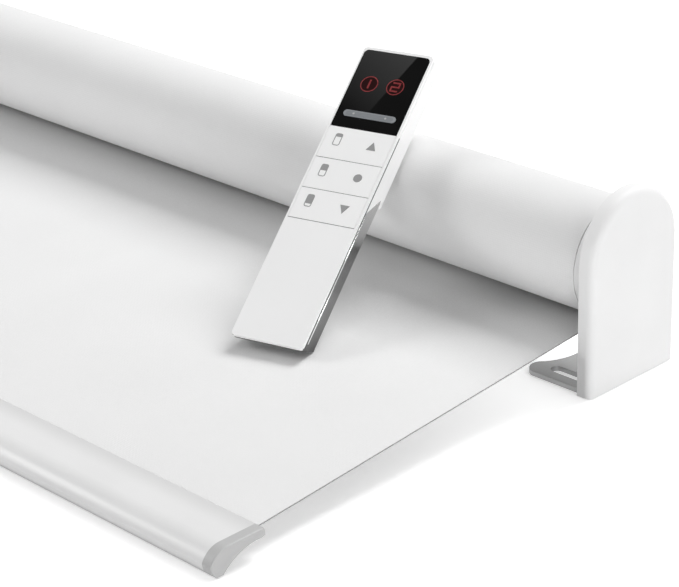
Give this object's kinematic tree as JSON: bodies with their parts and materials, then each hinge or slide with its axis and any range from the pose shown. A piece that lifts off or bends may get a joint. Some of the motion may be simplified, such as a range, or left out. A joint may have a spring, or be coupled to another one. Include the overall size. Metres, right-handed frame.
{
  "type": "motorized roller blind",
  "caption": "Roller blind with white fabric partly drawn out from a motor-driven roller between two covered brackets, a teardrop bottom bar and a hand control leaning on the roll.",
  "frame": {"origin": "on the face that the bracket feet are screwed to, centred under the whole part as pictured", "axes": "+X along the roller to the idler end, -Y the way the fabric is drawn out, +Z away from the mounting face"},
  "size_m": [0.61, 0.255, 0.112],
  "materials": {
    "bracket_steel": "satin",
    "white_plastic": "satin",
    "spring_steel": "bright",
    "grey_plastic": "satin",
    "lamp_lens": "polished",
    "black_plastic": "matt",
    "cell_wrap": "gloss",
    "board_green": "satin",
    "gear_brass": "satin",
    "gear_nylon": "satin",
    "tube_aluminium": "mill",
    "blind_fabric": "fine weave",
    "rail_white": "satin",
    "remote_white": "satin",
    "trim_silver": "polished",
    "window_black": "gloss",
    "mat_rubber": "matt"
  },
  "bodies": {
    "fixed": {"idler_bracket": "bracket_steel", "motor_bracket": "bracket_steel", "idler_cover": "white_plastic", "motor_cover": "white_plastic", "idler_bush": "white_plastic", "retaining_clip": "spring_steel", "motor_head": "white_plastic", "charging_port": "spring_steel", "status_lamp": "lamp_lens", "motor_tube": "spring_steel", "cell_cradle": "black_plastic", "battery_cell_1": "cell_wrap", "battery_cell_2": "cell_wrap", "control_board": "board_green", "dc_motor": "spring_steel", "ring_gear": "grey_plastic", "output_bearing": "black_plastic", "fabric_sheet": "blind_fabric"},
    "roller": {"roller_tube": "tube_aluminium", "fabric_spline": "white_plastic", "fabric_roll": "blind_fabric", "idler_plug": "white_plastic", "crown_ring": "white_plastic", "drive_wheel": "black_plastic", "drive_clip": "spring_steel", "planet_carrier": "spring_steel"},
    "rail": {"rail_profile": "rail_white", "rail_end_cap_right": "grey_plastic", "rail_end_cap_left": "grey_plastic", "rail_spline": "white_plastic"},
    "pin": {"idler_pin": "spring_steel", "idler_spring": "spring_steel"},
    "button": {"setting_button": "grey_plastic"},
    "rotor": {"sun_pinion": "gear_brass"},
    "planet_1": {"planet_gear_1": "gear_nylon"},
    "planet_2": {"planet_gear_2": "gear_nylon"},
    "planet_3": {"planet_gear_3": "gear_nylon"},
    "remote": {"remote_front": "remote_white", "remote_back": "remote_white", "remote_trim": "trim_silver", "display_window": "window_black", "display_module": "black_plastic", "remote_board": "board_green", "key_mat": "mat_rubber", "remote_cell_1": "cell_wrap", "remote_cell_2": "cell_wrap", "cell_contact_low": "spring_steel", "cell_contact_high": "spring_steel", "remote_screw_1": "spring_steel", "remote_screw_2": "spring_steel"},
    "rocker": {"channel_rocker": "grey_plastic"},
    "key_up": {"key_row_up": "remote_white"},
    "key_stop": {"key_row_stop": "remote_white"},
    "key_down": {"key_row_down": "remote_white"},
    "door": {"battery_door": "remote_white"}
  },
  "joints": [
    {"name": "roller_spin", "type": "hinge", "parent": "fixed", "child": "roller", "pos_m": [0, 0.1, 0.051], "axis": [-1, 0, 0], "range_deg": [-360, 3600]},
    {"name": "rail_slide", "type": "slide", "parent": "fixed", "child": "rail", "axis": [0, -1, 0], "range_m": [-0.16032, 1.60231], "deforming": ["fabric_sheet"]},
    {"name": "rotor_spin", "type": "hinge", "parent": "fixed", "child": "rotor", "pos_m": [0, 0.1, 0.051], "axis": [-1, 0, 0], "range_deg": [-1801, 18001]},
    {"name": "planet_spin_1", "type": "hinge", "parent": "roller", "child": "planet_1", "pos_m": [0, 0.1075, 0.051], "axis": [-1, 0, 0], "range_deg": [-9601, 961]},
    {"name": "planet_spin_2", "type": "hinge", "parent": "roller", "child": "planet_2", "pos_m": [0, 0.09625, 0.05749], "axis": [-1, 0, 0], "range_deg": [-9601, 961]},
    {"name": "planet_spin_3", "type": "hinge", "parent": "roller", "child": "planet_3", "pos_m": [0, 0.09625, 0.04451], "axis": [-1, 0, 0], "range_deg": [-9601, 961]},
    {"name": "pin_slide", "type": "slide", "parent": "fixed", "child": "pin", "axis": [-1, 0, 0], "range_m": [0, 0.008], "stiffness_N_per_m": 400, "springref_m": -0.01, "deforming": ["idler_spring"]},
    {"name": "button_press", "type": "slide", "parent": "fixed", "child": "button", "axis": [0, 1, 0], "range_m": [0, 0.0006], "stiffness_N_per_m": 800, "springref_m": -0.0005},
    {"name": "remote_lift", "type": "slide", "parent": "fixed", "child": "remote", "axis": [0, 0, -1], "range_m": [-0.12, 0]},
    {"name": "channel_rock", "type": "hinge", "parent": "remote", "child": "rocker", "pos_m": [0.17786, 0.07769, 0.09009], "axis": [-0.2151, 0.7705, 0.6], "range_deg": [-1.4, 1.4], "stiffness_Nm_per_rad": 0.5},
    {"name": "up_row_rock", "type": "hinge", "parent": "remote", "child": "key_up", "pos_m": [0.18118, 0.06582, 0.08085], "axis": [-0.2151, 0.7705, 0.6], "range_deg": [-1.4, 1.4], "stiffness_Nm_per_rad": 0.5},
    {"name": "stop_row_rock", "type": "hinge", "parent": "remote", "child": "key_stop", "pos_m": [0.18461, 0.05353, 0.07128], "axis": [-0.2151, 0.7705, 0.6], "range_deg": [-1.4, 1.4], "stiffness_Nm_per_rad": 0.5},
    {"name": "down_row_rock", "type": "hinge", "parent": "remote", "child": "key_down", "pos_m": [0.18795, 0.04155, 0.06195], "axis": [-0.2151, 0.7705, 0.6], "range_deg": [-1.4, 1.4], "stiffness_Nm_per_rad": 0.5},
    {"name": "door_slide", "type": "slide", "parent": "remote", "child": "door", "axis": [0.2151, -0.7705, -0.6], "range_m": [0, 0.012]}
  ],
  "couplings": [
    {"joint": "rail_slide", "follows": "roller_spin", "m_per_rad": 0.0255},
    {"joint": "rotor_spin", "follows": "roller_spin", "ratio": 5},
    {"joint": "planet_spin_1", "follows": "roller_spin", "ratio": -2.6667},
    {"joint": "planet_spin_2", "follows": "roller_spin", "ratio": -2.6667},
    {"joint": "planet_spin_3", "follows": "roller_spin", "ratio": -2.6667}
  ]
}
